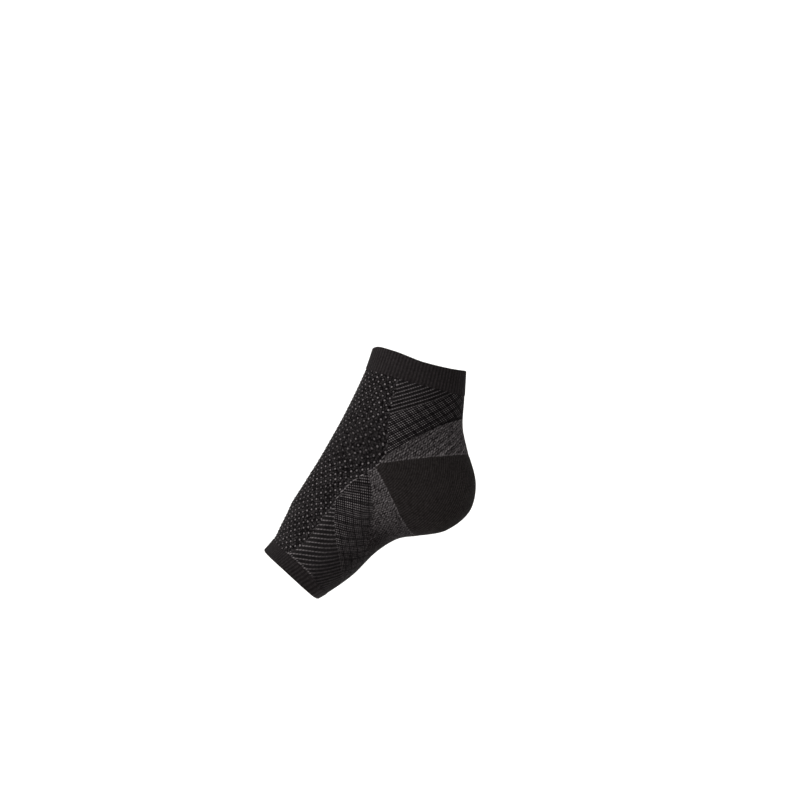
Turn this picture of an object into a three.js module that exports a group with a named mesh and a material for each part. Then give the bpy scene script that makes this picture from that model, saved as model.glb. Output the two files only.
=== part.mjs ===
// Compression ankle brace: a knitted open-toe sleeve in its worn form, with the foot pointed and the heel raised.
// Millimetres, +Z up. The origin is the centre of the ankle inside the sleeve, the toes point to -X, the heel
// to +X, and XZ is the mid plane, so the sleeve fits either foot.

import * as THREE from "three";

// Driving sizes
const PANEL_WALL = 1.6; // one layer of stretch knit
const CUFF_WALL = 2.2; // doubled welt at each end
const HEEL_WALL = 2.2; // thicker knit under the heel
const CUFF_PROUD = 0.5; // a cuff's outer face above the panels
const HEEL_PROUD = 0.3; // the heel's outer face above the panels
const ZONE_GAP = 0.3; // clear line between two knitted zones
const RIM_STEPS = 4; // facets round the free edge of a cuff
const PROBE = 1e-3; // step for the surface's slopes

// Rows of a table as objects, one key for each named column
function table(columns, rows) {
  return rows.map((row) => Object.fromEntries(columns.map((name, k) => [name, row[k]])));
}

// Sections of the sleeve, from the leg to the toes. Front and back are where a section crosses the mid plane,
// on the instep and on the tendon, heel or sole. Taper is positive where the front half is the broader one,
// blunt squares off the sole side, and bow is how far the sides run ahead of the front towards the toes.
const SECTIONS = table(
  ["frontX", "frontZ", "backX", "backZ", "halfWidth", "taper", "blunt", "bow"],
  [
    [-23.5, 67.5, 45.5, 48, 30, 0.1, 0, 1.2], // leg rim
    [-29.8, 49.5, 44.5, 29.5, 31, 0.13, 0, 1], // leg cuff's edge
    [-44.9, 18, 43.4, 7, 34, 0.16, 0, 0], // above the ankle
    [-56.5, -3, 47.3, -12, 35, 0.12, 0.01, 0], // ankle bones
    [-65.2, -18, 52.9, -35.5, 34, 0.06, 0.03, 0], // back of the heel
    [-70.9, -27, 48.3, -55.5, 33.5, 0.02, 0.04, 0], // corner of the heel
    [-76.5, -36, 31.2, -69.5, 33.5, 0, 0.05, 0], // heel pad
    [-81, -43, 12, -73.5, 34, -0.04, 0.05, 0], // front of the heel
    [-84.8, -49, -5, -76, 35, -0.08, 0.05, 0], // back of the arch
    [-88.2, -56.5, -21.5, -86, 36, -0.1, 0.05, 0], // top of the arch
    [-92.7, -65.5, -39, -103, 37.5, -0.1, 0.05, -1.4], // front of the arch
    [-98, -76, -57.5, -116, 39, -0.09, 0.05, -2.8], // toe cuff's edge
    [-105.5, -85, -65, -120.5, 40, -0.08, 0.04, -2.4], // toe rim
  ],
);

// Each section's station: its distance from the leg rim, measured down the front of the instep
let station = 0;
SECTIONS.forEach((section, k) => {
  const before = SECTIONS[Math.max(k - 1, 0)];
  station += Math.hypot(section.frontX - before.frontX, section.frontZ - before.frontZ);
  section.station = station;
});
const LEG_RIM = 0;
const TOE_RIM = station;

// Side edge of the instep panel: degrees round the sleeve from the front of the instep, at each station
const INSTEP_EDGE = table(
  ["station", "degrees"],
  [
    [17, 71.5],
    [40, 73],
    [62, 77.5],
    [80, 81],
    [91, 76.5],
    [104, 63],
    [115, 61],
    [132, 70],
    [147, 73.5],
    [156, 70],
    [163, 61],
  ],
);

// Borders between the zones behind the instep panel: the station where a border leaves the instep panel, the
// station where it crosses the back or the sole, and the power of the curve between them
const LEG_CUFF_EDGE = { front: 17.5, back: 17.5, sweep: 1 };
const ANKLE_TO_GUSSET = { front: 85.5, back: 44, sweep: 2.1 };
const GUSSET_TO_HEEL = { front: 90, back: 79, sweep: 2.4 };
const HEEL_TO_GUSSET = { front: 93, back: 125.5, sweep: 3.2 };
const GUSSET_TO_ARCH = { front: 97, back: 142.5, sweep: 3 };
const ARCH_TO_RIBS = { front: 120, back: 155, sweep: 2.6 };
const TOE_CUFF_EDGE = { front: 162.6, back: 162.6, sweep: 1 };

const lerp = THREE.MathUtils.lerp;

// Smooth value of one column of a table at a station: a cubic through the rows, with slopes from their neighbours
function column(rows, name, at) {
  const slope = (k) => {
    const before = rows[Math.max(k - 1, 0)];
    const after = rows[Math.min(k + 1, rows.length - 1)];
    return (after[name] - before[name]) / (after.station - before.station);
  };
  let k = 0;
  while (k < rows.length - 2 && at >= rows[k + 1].station) k += 1;
  const span = rows[k + 1].station - rows[k].station;
  const t = (at - rows[k].station) / span;
  const ease = t * t * (3 - 2 * t);
  const leave = t * (1 - t) * (1 - t) * span * slope(k);
  const arrive = t * t * (1 - t) * span * slope(k + 1);
  return lerp(rows[k][name], rows[k + 1][name], ease) + leave - arrive;
}

// Point of the panels' outer face. Angle 0 is the front of the instep, a quarter turn is the -Y side, and half
// a turn is the back or the sole.
function sleevePoint(at, angle) {
  const bowed = at + column(SECTIONS, "bow", at) * Math.sin(angle) ** 2;
  const value = (name) => column(SECTIONS, name, bowed);
  const square = (value("blunt") * (1 - Math.cos(angle))) / 2;
  const along = (Math.cos(angle) - square * Math.cos(3 * angle)) / (1 - square);
  const across = (Math.sin(angle) + square * Math.sin(3 * angle)) / (1 - square);
  const toFront = (1 + along) / 2;
  return new THREE.Vector3(
    lerp(value("backX"), value("frontX"), toFront),
    -value("halfWidth") * across * (1 + value("taper") * Math.cos(angle)),
    lerp(value("backZ"), value("frontZ"), toFront),
  );
}

// Outward normal of the panels' outer face
function sleeveNormal(at, angle) {
  const down = sleevePoint(at + PROBE, angle).sub(sleevePoint(at - PROBE, angle));
  const round = sleevePoint(at, angle + PROBE).sub(sleevePoint(at, angle - PROBE));
  return down.cross(round).normalize();
}

function instepEdge(at) {
  return THREE.MathUtils.degToRad(column(INSTEP_EDGE, "degrees", at));
}

// Address on the instep panel: down goes from cuff to cuff and round from edge to edge, both 0 to 1
function instepAddress(down, round) {
  const at = lerp(LEG_CUFF_EDGE.front, TOE_CUFF_EDGE.front, down);
  return { at, angle: (2 * round - 1) * instepEdge(at) };
}

// Addresses on a zone behind the instep panel: down goes from its upper border to its lower one, and round goes
// from one edge of the instep panel to the other by way of the back or the sole
function wrapAddress(upper, lower) {
  return (down, round) => {
    const front = lerp(upper.front, lower.front, down);
    const back = lerp(upper.back, lower.back, down);
    const sweep = lerp(upper.sweep, lower.sweep, down);
    const fromMiddle = Math.abs(2 * round - 1);
    const turn = Math.PI - instepEdge(front);
    return { at: back + (front - back) * fromMiddle ** sweep, angle: Math.PI + (2 * round - 1) * turn };
  };
}

// Addresses on a cuff, a whole ring between two stations
function ringAddress(start, end) {
  return (down, round) => ({ at: lerp(start, end, down), angle: 2 * Math.PI * round });
}

// A lattice of points on one face of a zone, with the borders drawn in by half the gap, and a free rim by the
// radius of its round edge
function faceLattice(zone, height) {
  const lattice = [];
  for (let j = 0; j <= zone.rounds; j += 1) {
    const line = [];
    for (let i = 0; i <= zone.downs; i += 1) {
      const { at, angle } = zone.address(i / zone.downs, j / zone.rounds);
      line.push(sleevePoint(at, angle).addScaledVector(sleeveNormal(at, angle), height));
    }
    lattice.push(line);
  }
  const drawIn = (point, inner, distance) => {
    const step = inner.clone().sub(point).setLength(distance);
    return point.clone().add(step);
  };
  const startInset = zone.freeRim === "start" ? zone.wall / 2 : ZONE_GAP / 2;
  const endInset = zone.freeRim === "end" ? zone.wall / 2 : ZONE_GAP / 2;
  for (const line of lattice) {
    line[0] = drawIn(line[0], line[1], startInset);
    line[zone.downs] = drawIn(line[zone.downs], line[zone.downs - 1], endInset);
  }
  if (!zone.ring) {
    const last = zone.rounds;
    lattice[0] = lattice[0].map((point, i) => drawIn(point, lattice[1][i], ZONE_GAP / 2));
    lattice[last] = lattice[last].map((point, i) => drawIn(point, lattice[last - 1][i], ZONE_GAP / 2));
  }
  return lattice;
}

// Points of the half round between the two faces at a free rim, from one face to the other
function rimPoints(from, to, beyond) {
  const middle = from.clone().add(to).multiplyScalar(0.5);
  const radius = from.clone().sub(middle);
  const outward = beyond.clone().setLength(radius.length());
  const points = [];
  for (let k = 1; k < RIM_STEPS; k += 1) {
    const turn = (Math.PI * k) / RIM_STEPS;
    points.push(middle.clone().addScaledVector(radius, Math.cos(turn)).addScaledVector(outward, Math.sin(turn)));
  }
  return points;
}

// Closed wall of one zone: its two faces, joined round every border
function zoneGeometry(zone) {
  const outer = faceLattice(zone, zone.proud);
  const inner = faceLattice(zone, zone.proud - zone.wall);
  const last = zone.downs;
  const loops = outer.map((line, j) => {
    const back = [...inner[j]].reverse();
    const startRim = rimPoints(inner[j][0], line[0], line[0].clone().sub(line[1]));
    const endRim = rimPoints(line[last], inner[j][last], line[last].clone().sub(line[last - 1]));
    const startPoints = zone.freeRim === "start" ? startRim : [];
    const endPoints = zone.freeRim === "end" ? endRim : [];
    return [...line, ...endPoints, ...back, ...startPoints];
  });
  if (zone.ring) loops.pop();

  const loopLength = loops[0].length;
  const faces = [];
  const quad = (a, b, c, d) => faces.push(a, b, c, a, c, d);
  const id = (j, k) => (j % loops.length) * loopLength + (k % loopLength);
  for (let j = 0; j < zone.rounds; j += 1) {
    for (let k = 0; k < loopLength; k += 1) quad(id(j, k), id(j, k + 1), id(j + 1, k + 1), id(j + 1, k));
  }
  if (!zone.ring) {
    const far = loopLength - 1;
    for (let i = 0; i < last; i += 1) {
      quad(id(0, i), id(0, far - i), id(0, far - i - 1), id(0, i + 1));
      quad(id(zone.rounds, i), id(zone.rounds, i + 1), id(zone.rounds, far - i - 1), id(zone.rounds, far - i));
    }
  }

  const geometry = new THREE.BufferGeometry();
  const positions = loops.flat().flatMap((point) => point.toArray());
  geometry.setAttribute("position", new THREE.Float32BufferAttribute(positions, 3));
  geometry.setIndex(faces);
  geometry.computeVertexNormals();
  return geometry;
}

// The zones: downs and rounds are the facets from border to border and round the sleeve
const PANEL = { wall: PANEL_WALL, proud: 0 };
const HEEL = { wall: HEEL_WALL, proud: HEEL_PROUD };
const CUFF = { wall: CUFF_WALL, proud: CUFF_PROUD, ring: true };
const ZONES = [
  {
    name: "leg_cuff",
    ...CUFF,
    address: ringAddress(LEG_RIM, LEG_CUFF_EDGE.front),
    downs: 4,
    rounds: 48,
    color: 0x2a2526,
    freeRim: "start",
  },
  {
    name: "instep_panel",
    ...PANEL,
    address: instepAddress,
    downs: 26,
    rounds: 18,
    color: 0x2b2728,
  },
  {
    name: "ankle_panel",
    ...PANEL,
    address: wrapAddress(LEG_CUFF_EDGE, ANKLE_TO_GUSSET),
    downs: 10,
    rounds: 28,
    color: 0x2a2627,
  },
  {
    name: "upper_gusset",
    ...PANEL,
    address: wrapAddress(ANKLE_TO_GUSSET, GUSSET_TO_HEEL),
    downs: 5,
    rounds: 36,
    color: 0x3a3637,
  },
  {
    name: "heel_cup",
    ...HEEL,
    address: wrapAddress(GUSSET_TO_HEEL, HEEL_TO_GUSSET),
    downs: 12,
    rounds: 36,
    color: 0x231f1e,
  },
  {
    name: "lower_gusset",
    ...PANEL,
    address: wrapAddress(HEEL_TO_GUSSET, GUSSET_TO_ARCH),
    downs: 6,
    rounds: 34,
    color: 0x3a3636,
  },
  {
    name: "arch_panel",
    ...PANEL,
    address: wrapAddress(GUSSET_TO_ARCH, ARCH_TO_RIBS),
    downs: 6,
    rounds: 30,
    color: 0x2a2626,
  },
  {
    name: "arch_rib_panel",
    ...PANEL,
    address: wrapAddress(ARCH_TO_RIBS, TOE_CUFF_EDGE),
    downs: 8,
    rounds: 28,
    color: 0x292525,
  },
  {
    name: "toe_cuff",
    ...CUFF,
    address: ringAddress(TOE_CUFF_EDGE.front, TOE_RIM),
    downs: 3,
    rounds: 48,
    color: 0x2a2324,
    freeRim: "end",
  },
];

const brace = new THREE.Group();
for (const zone of ZONES) {
  const knit = new THREE.MeshStandardMaterial({ color: zone.color, roughness: 0.9, metalness: 0 });
  const mesh = new THREE.Mesh(zoneGeometry(zone), knit);
  mesh.name = zone.name;
  brace.add(mesh);
}

export default brace;
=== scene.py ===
"""Compression ankle brace: the looks of a knitted open-toe sleeve, zone by zone from the leg to the toes."""

import math

import bpy
import numpy as np
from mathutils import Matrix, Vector


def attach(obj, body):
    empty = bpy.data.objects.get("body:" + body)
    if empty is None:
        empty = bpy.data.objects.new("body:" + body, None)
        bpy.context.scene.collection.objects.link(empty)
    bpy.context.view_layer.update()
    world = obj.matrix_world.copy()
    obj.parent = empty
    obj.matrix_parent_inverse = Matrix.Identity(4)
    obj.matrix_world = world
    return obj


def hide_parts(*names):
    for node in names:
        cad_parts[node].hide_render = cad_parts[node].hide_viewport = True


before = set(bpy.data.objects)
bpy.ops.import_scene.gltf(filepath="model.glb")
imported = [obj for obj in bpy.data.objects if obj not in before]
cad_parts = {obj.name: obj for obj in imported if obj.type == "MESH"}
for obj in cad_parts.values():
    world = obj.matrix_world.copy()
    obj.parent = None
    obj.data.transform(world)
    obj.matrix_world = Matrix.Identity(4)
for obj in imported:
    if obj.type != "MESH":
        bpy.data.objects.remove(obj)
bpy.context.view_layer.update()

# Leg cuff
# The plain welt that ends the sleeve above the ankle: nylon over elastane, knitted double in a fine rib, so
# it is thicker than the panels and stands a little above them. Its free edge is a soft fold.

# Sections of the worn sleeve from the leg rim to the toe rim, in metres. Each row holds where the section
# crosses the mid plane at the instep (front x, z) and opposite it (back x, z), its half width, its taper
# towards the back, how blunt its sole side is, and how far its sides run ahead towards the toes
SLEEVE_ROWS = np.array([
    (-0.0235, 0.0675, 0.0455, 0.0480, 0.0300, 0.10, 0.00, 0.0012),
    (-0.0298, 0.0495, 0.0445, 0.0295, 0.0310, 0.13, 0.00, 0.0010),
    (-0.0449, 0.0180, 0.0434, 0.0070, 0.0340, 0.16, 0.00, 0.0),
    (-0.0565, -0.0030, 0.0473, -0.0120, 0.0350, 0.12, 0.01, 0.0),
    (-0.0652, -0.0180, 0.0529, -0.0355, 0.0340, 0.06, 0.03, 0.0),
    (-0.0709, -0.0270, 0.0483, -0.0555, 0.0335, 0.02, 0.04, 0.0),
    (-0.0765, -0.0360, 0.0312, -0.0695, 0.0335, 0.00, 0.05, 0.0),
    (-0.0810, -0.0430, 0.0120, -0.0735, 0.0340, -0.04, 0.05, 0.0),
    (-0.0848, -0.0490, -0.0050, -0.0760, 0.0350, -0.08, 0.05, 0.0),
    (-0.0882, -0.0565, -0.0215, -0.0860, 0.0360, -0.10, 0.05, 0.0),
    (-0.0927, -0.0655, -0.0390, -0.1030, 0.0375, -0.10, 0.05, -0.0014),
    (-0.0980, -0.0760, -0.0575, -0.1160, 0.0390, -0.09, 0.05, -0.0028),
    (-0.1055, -0.0850, -0.0650, -0.1205, 0.0400, -0.08, 0.04, -0.0024),
])
# A section's station is its length from the leg rim down the line of the instep
INSTEP_STEPS = np.hypot(np.diff(SLEEVE_ROWS[:, 0]), np.diff(SLEEVE_ROWS[:, 1]))
SLEEVE_STATIONS = np.concatenate([[0.0], np.cumsum(INSTEP_STEPS)])
TOE_RIM = SLEEVE_STATIONS[-1]
LEG_CUFF_EDGE = 0.0175
# Steps down and round the sleeve over which its slopes are taken
SLOPE_STEP = 1e-5
SLOPE_TURN = 1e-4


def smooth_rows(stations, rows, at):
    """Cubic through the rows of a table, which has at each row the slope between its two neighbours."""
    before = np.maximum(np.arange(len(stations)) - 1, 0)
    after = np.minimum(np.arange(len(stations)) + 1, len(stations) - 1)
    slopes = (rows[after] - rows[before]) / (stations[after] - stations[before])[:, None]
    k = np.clip(np.searchsorted(stations, at, side="right") - 1, 0, len(stations) - 2)
    span = (stations[k + 1] - stations[k])[..., None]
    t = ((at - stations[k])[..., None]) / span
    ease = t * t * (3 - 2 * t)
    bend = t * (1 - t) ** 2 * span * slopes[k] - t * t * (1 - t) * span * slopes[k + 1]
    return rows[k] + (rows[k + 1] - rows[k]) * ease + bend


def sleeve_point(at, angle):
    """Point of the panels' outer face at a station and an angle round from the front: along the mid-plane
    line by the cosine, and out to the side by the sine, both squared off on the sole side."""
    bow = smooth_rows(SLEEVE_STATIONS, SLEEVE_ROWS, at)[..., -1]
    row = smooth_rows(SLEEVE_STATIONS, SLEEVE_ROWS, at + bow * np.sin(angle) ** 2)
    front_x, front_z, back_x, back_z, half_width, taper, blunt = np.moveaxis(row[..., :-1], -1, 0)
    square = blunt * (1 - np.cos(angle)) / 2
    to_front = (1 + (np.cos(angle) - square * np.cos(3 * angle)) / (1 - square)) / 2
    to_side = (np.sin(angle) + square * np.sin(3 * angle)) / (1 - square)
    x = back_x + (front_x - back_x) * to_front
    y = -half_width * to_side * (1 + taper * np.cos(angle))
    z = back_z + (front_z - back_z) * to_front
    return np.stack([x, y, z], axis=-1)


def sleeve_normal(at, angle):
    """Outward normal: the slope down the sleeve crossed with the slope round it."""
    down = sleeve_point(at + SLOPE_STEP, angle) - sleeve_point(at - SLOPE_STEP, angle)
    round_it = sleeve_point(at, angle + SLOPE_TURN) - sleeve_point(at, angle - SLOPE_TURN)
    normal = np.cross(down, round_it)
    return normal / np.linalg.norm(normal, axis=-1, keepdims=True)


# Lengths along the knit, on a table of half the sleeve: round it from the front, and down it from the leg rim
TABLE_AT = np.linspace(0, TOE_RIM, 240)
TABLE_ANGLE = np.linspace(0, math.pi, 181)
TABLE_POINTS = sleeve_point(*np.meshgrid(TABLE_AT, TABLE_ANGLE, indexing="ij"))
ROUND_STEPS = np.linalg.norm(np.diff(TABLE_POINTS, axis=1), axis=-1)
DOWN_STEPS = np.linalg.norm(np.diff(TABLE_POINTS, axis=0), axis=-1)
ROUND_TABLE = np.pad(np.cumsum(ROUND_STEPS, axis=1), ((0, 0), (1, 0)))
DOWN_TABLE = np.pad(np.cumsum(DOWN_STEPS, axis=0), ((1, 0), (0, 0)))


def knit_length(table, at, angle):
    """Length from one of the tables, between its four nearest entries. The far side mirrors the near one."""
    row = np.clip(at / TOE_RIM, 0, 1) * (table.shape[0] - 1)
    column = np.arccos(np.cos(angle)) / math.pi * (table.shape[1] - 1)
    i = np.minimum(row.astype(int), table.shape[0] - 2)
    j = np.minimum(column.astype(int), table.shape[1] - 2)
    p, q = row - i, column - j
    upper = table[i, j] * (1 - q) + table[i, j + 1] * q
    lower = table[i + 1, j] * (1 - q) + table[i + 1, j + 1] * q
    return upper * (1 - p) + lower * p


def grid_quads(corner):
    """Faces of a grid of corner numbers: the four corners round each cell."""
    cells = [corner[:-1, :-1], corner[1:, :-1], corner[1:, 1:], corner[:-1, 1:]]
    return np.stack(cells, axis=-1).reshape(-1, 4)


def fan_faces(fine, coarse, step):
    """Triangles between a fine edge and a coarse one that has every step-th of its points: each coarse
    stretch is joined to the middle of its fine stretch, and the fine edges fan out to the nearer end."""
    half = step // 2
    stretch = np.arange(len(coarse) - 1)
    middle = np.stack([coarse[:-1], coarse[1:], fine[stretch * step + half]], axis=1)
    k = np.arange(len(fine) - 1)
    owner = coarse[k // step + (k % step >= half)]
    return np.concatenate([middle, np.stack([owner, fine[k + 1], fine[k]], axis=1)])


# The inner face keeps every fourth line of the outer one
INNER_STEP = 4
SHARP_EDGE = math.radians(60)


def knit_wall(name, at, angle, height, yarn, inner_height, maps, ring=False):
    """Closed wall of one knitted zone. Its outer face is the sleeve's surface raised by height on a fine
    grid, its inner face is the same grid thinned to every fourth line at inner_height, and strips close its
    borders. yarn holds the named shares of yarn on the outer and inner face, and maps its named maps."""
    rows, columns = at.shape
    used = columns - 1 if ring else columns
    outer = sleeve_point(at, angle) + sleeve_normal(at, angle) * height[..., None]
    low = np.s_[::INNER_STEP, ::INNER_STEP]
    inner = sleeve_point(at[low], angle[low]) + sleeve_normal(at[low], angle[low]) * inner_height
    inner_rows, inner_columns = inner.shape[:2]
    inner_used = inner_columns - 1 if ring else inner_columns
    points = np.concatenate([outer[:, :used].reshape(-1, 3), inner[:, :inner_used].reshape(-1, 3)])

    # Grid corners are numbered apart from points, so that the maps don't jump where a ring closes
    outer_corner = np.arange(rows * columns).reshape(rows, columns)
    inner_corner = rows * columns + np.arange(inner_rows * inner_columns).reshape(inner_rows, inner_columns)
    outer_point = np.arange(rows)[:, None] * used + np.arange(columns)[None, :] % used
    inner_point = np.arange(inner_rows)[:, None] * inner_used + np.arange(inner_columns)[None, :] % inner_used
    corner_point = np.concatenate([outer_point.ravel(), rows * used + inner_point.ravel()])

    quads = np.concatenate([grid_quads(outer_corner), grid_quads(inner_corner)[:, ::-1]])
    strips = [
        fan_faces(outer_corner[0], inner_corner[0], INNER_STEP),
        fan_faces(outer_corner[-1], inner_corner[-1], INNER_STEP)[:, ::-1],
    ]
    if not ring:
        strips.append(fan_faces(outer_corner[:, 0], inner_corner[:, 0], INNER_STEP)[:, ::-1])
        strips.append(fan_faces(outer_corner[:, -1], inner_corner[:, -1], INNER_STEP))
    triangles = np.concatenate(strips)
    corners = np.concatenate([quads.ravel(), triangles.ravel()])
    sizes = np.concatenate([np.full(len(quads), 4), np.full(len(triangles), 3)])

    mesh = bpy.data.meshes.new(name)
    mesh.vertices.add(len(points))
    mesh.vertices.foreach_set("co", points.astype(np.float32).ravel())
    mesh.loops.add(len(corners))
    mesh.loops.foreach_set("vertex_index", corner_point[corners].astype(np.int32))
    mesh.polygons.add(len(sizes))
    starts = np.concatenate([[0], np.cumsum(sizes)[:-1]])
    mesh.polygons.foreach_set("loop_start", starts.astype(np.int32))
    mesh.update(calc_edges=True)
    mesh.validate()
    mesh.shade_smooth()
    mesh.set_sharp_from_angle(angle=SHARP_EDGE)
    for map_name, grid in maps.items():
        corner_map = np.concatenate([grid.reshape(-1, 2), grid[low].reshape(-1, 2)])[corners]
        layer = mesh.uv_layers.new(name=map_name)
        layer.uv.foreach_set("vector", corner_map.astype(np.float32).ravel())
    for yarn_name, (outside, inside) in yarn.items():
        outside = np.broadcast_to(outside, at.shape)[:, :used].ravel()
        shown = np.concatenate([outside, np.full(inner_rows * inner_used, inside)])
        layer = mesh.attributes.new(yarn_name, "FLOAT", "POINT")
        layer.data.foreach_set("value", shown.astype(np.float32))
    piece = bpy.data.objects.new(name, mesh)
    bpy.context.scene.collection.objects.link(piece)
    return piece


def linear(hex_colour):
    """Linear colour of an sRGB hex value: the standard curve, with its straight foot below 0.04045."""
    channels = np.array([int(hex_colour[k:k + 2], 16) for k in (1, 3, 5)]) / 255
    curved = np.where(channels <= 0.04045, channels / 12.92, ((channels + 0.055) / 1.055) ** 2.4)
    return (*curved, 1.0)


def add_node(tree, kind, inputs, output=0, **settings):
    """Adds a node with its settings, fills its inputs in order or by name, and gives back an output."""
    node = tree.nodes.new("ShaderNode" + kind)
    for key, value in settings.items():
        setattr(node, key, value)
    for key, value in inputs.items() if isinstance(inputs, dict) else enumerate(inputs):
        if isinstance(value, bpy.types.NodeSocket):
            tree.links.new(value, node.inputs[key])
        else:
            node.inputs[key].default_value = value
    return node.outputs[output] if node.outputs else node


def map_parts(tree, name):
    """The two numbers that one of a piece's surface maps holds."""
    numbers = add_node(tree, "UVMap", [], uv_map=name)
    return [add_node(tree, "SeparateXYZ", [numbers], output=k) for k in (0, 1)]


def yarn_ridges(tree, phase, sharpness, light=(1.0, 0.0)):
    """Light yarn on whole numbers of a phase: a raised cosine to a power, times a rise, plus a base."""
    turn = add_node(tree, "Math", [phase, 2 * math.pi], operation="MULTIPLY")
    wave = add_node(tree, "Math", [turn], operation="COSINE")
    raised = add_node(tree, "Math", [wave, 0.5, 0.5], operation="MULTIPLY_ADD")
    ridge = add_node(tree, "Math", [raised, sharpness], operation="POWER")
    return add_node(tree, "Math", [ridge, *light], operation="MULTIPLY_ADD")


# The dashed light course along a border: how far in it lies, its half width and that of its bright core,
# and how far its dashes swing
COURSE_INSET = 0.0008
COURSE_HALF_WIDTH = 0.0007
COURSE_CORE = 0.3 * COURSE_HALF_WIDTH
COURSE_SWING = 0.0003
# The two legs of a stitch: their slant in courses for each wale, how square their rows are, and the share of
# colour left in the gaps between them, which are darkened as painted shade
LEG_SLANT = 0.9
LEG_SQUARENESS = 0.6
GAP_LIGHT = 0.4
# Uneven dye: the size of its patches and how far they differ
DYE_PATCH = 0.009
DYE_CHANGE = 0.06
# The specks of the twisted yarn are drawn coarser than a stitch, so that they show in the render. They fade
# between two distances, in specks, and a share of light above the limit varies no more than there
SPECK = 0.0015
SPECK_EDGE = (0.15, 0.85)
GRAIN_LIMIT = 0.12
LIGHT_YARN = "#aaa3a4"
STITCH_RELIEF = 0.00012
# Crimped nylon filaments: matt, with next to no gloss
NYLON = {
    "IOR": 1.53,
    "Specular IOR Level": 0.03,
    "Roughness": 0.8,
    "Sheen Weight": 0.005,
    "Sheen Roughness": 0.4,
}


def light_course(tree):
    """Share of a thin dashed light course: by the distance from a border and the count of dashes along it
    in the edge map, swinging a little with each dash, and as strong as the piece's float_yarn says."""
    distance, run = map_parts(tree, "edge")
    turn = add_node(tree, "Math", [run, 2 * math.pi], operation="MULTIPLY")
    wave = add_node(tree, "Math", [turn], operation="SINE")
    middle = add_node(tree, "Math", [wave, COURSE_SWING, COURSE_INSET], operation="MULTIPLY_ADD")
    away = add_node(tree, "Math", [distance, middle], operation="SUBTRACT")
    away = add_node(tree, "Math", [away], operation="ABSOLUTE")
    widths = [COURSE_HALF_WIDTH, COURSE_CORE]
    line = add_node(tree, "MapRange", [away, *widths], interpolation_type="SMOOTHSTEP")
    dashed = add_node(tree, "Math", [line, yarn_ridges(tree, run, sharpness=1.4)], operation="MULTIPLY")
    strength = add_node(tree, "Attribute", [], output="Fac", attribute_name="float_yarn")
    return add_node(tree, "Math", [dashed, strength], operation="MULTIPLY")


def knit_material(name, ground, light, grain, relief, pattern, floats=False):
    """Weft-knitted nylon over elastane. Each stitch is a V of two legs: across a wale the legs are two
    arches, and along it they are rows that slant up from the wale's middle. The colour is darkened in the
    gaps between the legs as painted shade. The yarn goes from ground to light by the pattern's share times
    the piece's own, with a light course along a border where there are floats, and grain sets how far it
    varies in specks."""
    material = bpy.data.materials.new(name)
    material.use_nodes = True
    tree = material.node_tree
    tree.nodes.clear()
    wale, course = map_parts(tree, "stitches")
    across = add_node(tree, "Math", [wale], operation="FRACT")
    from_middle = add_node(tree, "Math", [across, 0.5], operation="SUBTRACT")
    from_middle = add_node(tree, "Math", [from_middle], operation="ABSOLUTE")
    from_leg = add_node(tree, "Math", [from_middle, 4.0, -1.0], operation="MULTIPLY_ADD")
    hollow = add_node(tree, "Math", [from_leg, from_leg], operation="MULTIPLY")
    leg = add_node(tree, "Math", [1.0, hollow], operation="SUBTRACT")
    slant = add_node(tree, "Math", [from_middle, -LEG_SLANT, course], operation="MULTIPLY_ADD")
    turn = add_node(tree, "Math", [slant, math.pi], operation="MULTIPLY")
    wave = add_node(tree, "Math", [turn], operation="SINE")
    row = add_node(tree, "Math", [wave], operation="ABSOLUTE")
    row = add_node(tree, "Math", [row, LEG_SQUARENESS], operation="POWER")
    stitch = add_node(tree, "Math", [leg, row], operation="MULTIPLY")

    place = add_node(tree, "TexCoord", [], output="Object")
    nearest = add_node(tree, "TexVoronoi", {"Vector": place, "Scale": 1 / SPECK, "Randomness": 0.9})
    speck = add_node(tree, "MapRange", [nearest, *SPECK_EDGE, 1.0, -1.0])
    own_share = add_node(tree, "Attribute", [], output="Fac", attribute_name="light_yarn")
    share = add_node(tree, "Math", [own_share, pattern(tree)], operation="MULTIPLY")
    if floats:
        share = add_node(tree, "Math", [share, light_course(tree)], operation="ADD")
    spread = add_node(tree, "Math", [share, GRAIN_LIMIT], operation="MINIMUM")
    spread = add_node(tree, "Math", [spread, grain], operation="MULTIPLY")
    share = add_node(tree, "Math", [speck, spread, share], operation="MULTIPLY_ADD")
    colours = {"output": 2, "data_type": "RGBA"}
    yarns = {0: share, 6: linear(ground), 7: linear(light)}
    yarn_colour = add_node(tree, "Mix", yarns, clamp_factor=True, **colours)
    patch = add_node(tree, "TexNoise", {"Vector": place, "Scale": 1 / DYE_PATCH, "Detail": 3.0})
    dye = add_node(tree, "MapRange", [patch, 0.3, 0.7, 1 - DYE_CHANGE, 1 + DYE_CHANGE])
    # Painted shade: the colour is darkened in the gaps between a stitch's legs, and changed by the uneven dye
    painted_gap_shade = add_node(tree, "Math", [stitch, 1 - GAP_LIGHT, GAP_LIGHT], operation="MULTIPLY_ADD")
    gap_shade_and_dye = add_node(tree, "Math", [painted_gap_shade, dye], operation="MULTIPLY")
    colour = add_node(tree, "Mix", {0: 1.0, 6: yarn_colour, 7: gap_shade_and_dye}, blend_type="MULTIPLY", **colours)
    bump = add_node(tree, "Bump", {"Strength": 1.0, "Distance": relief, "Height": stitch})
    shader = add_node(tree, "BsdfPrincipled", {"Base Color": colour, "Normal": bump, **NYLON})
    add_node(tree, "OutputMaterial", {"Surface": shader})
    return material


def dress(piece, material, node):
    """Gives a piece its material and its body, and hides the solid it stands for."""
    piece.data.materials.append(material)
    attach(piece, "root")
    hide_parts(node)


CUFF_WALL = 0.0022
CUFF_PROUD = 0.0005
CUFF_RIBS = 79
CUFF_RIB_DEPTH = 0.00015
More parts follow.
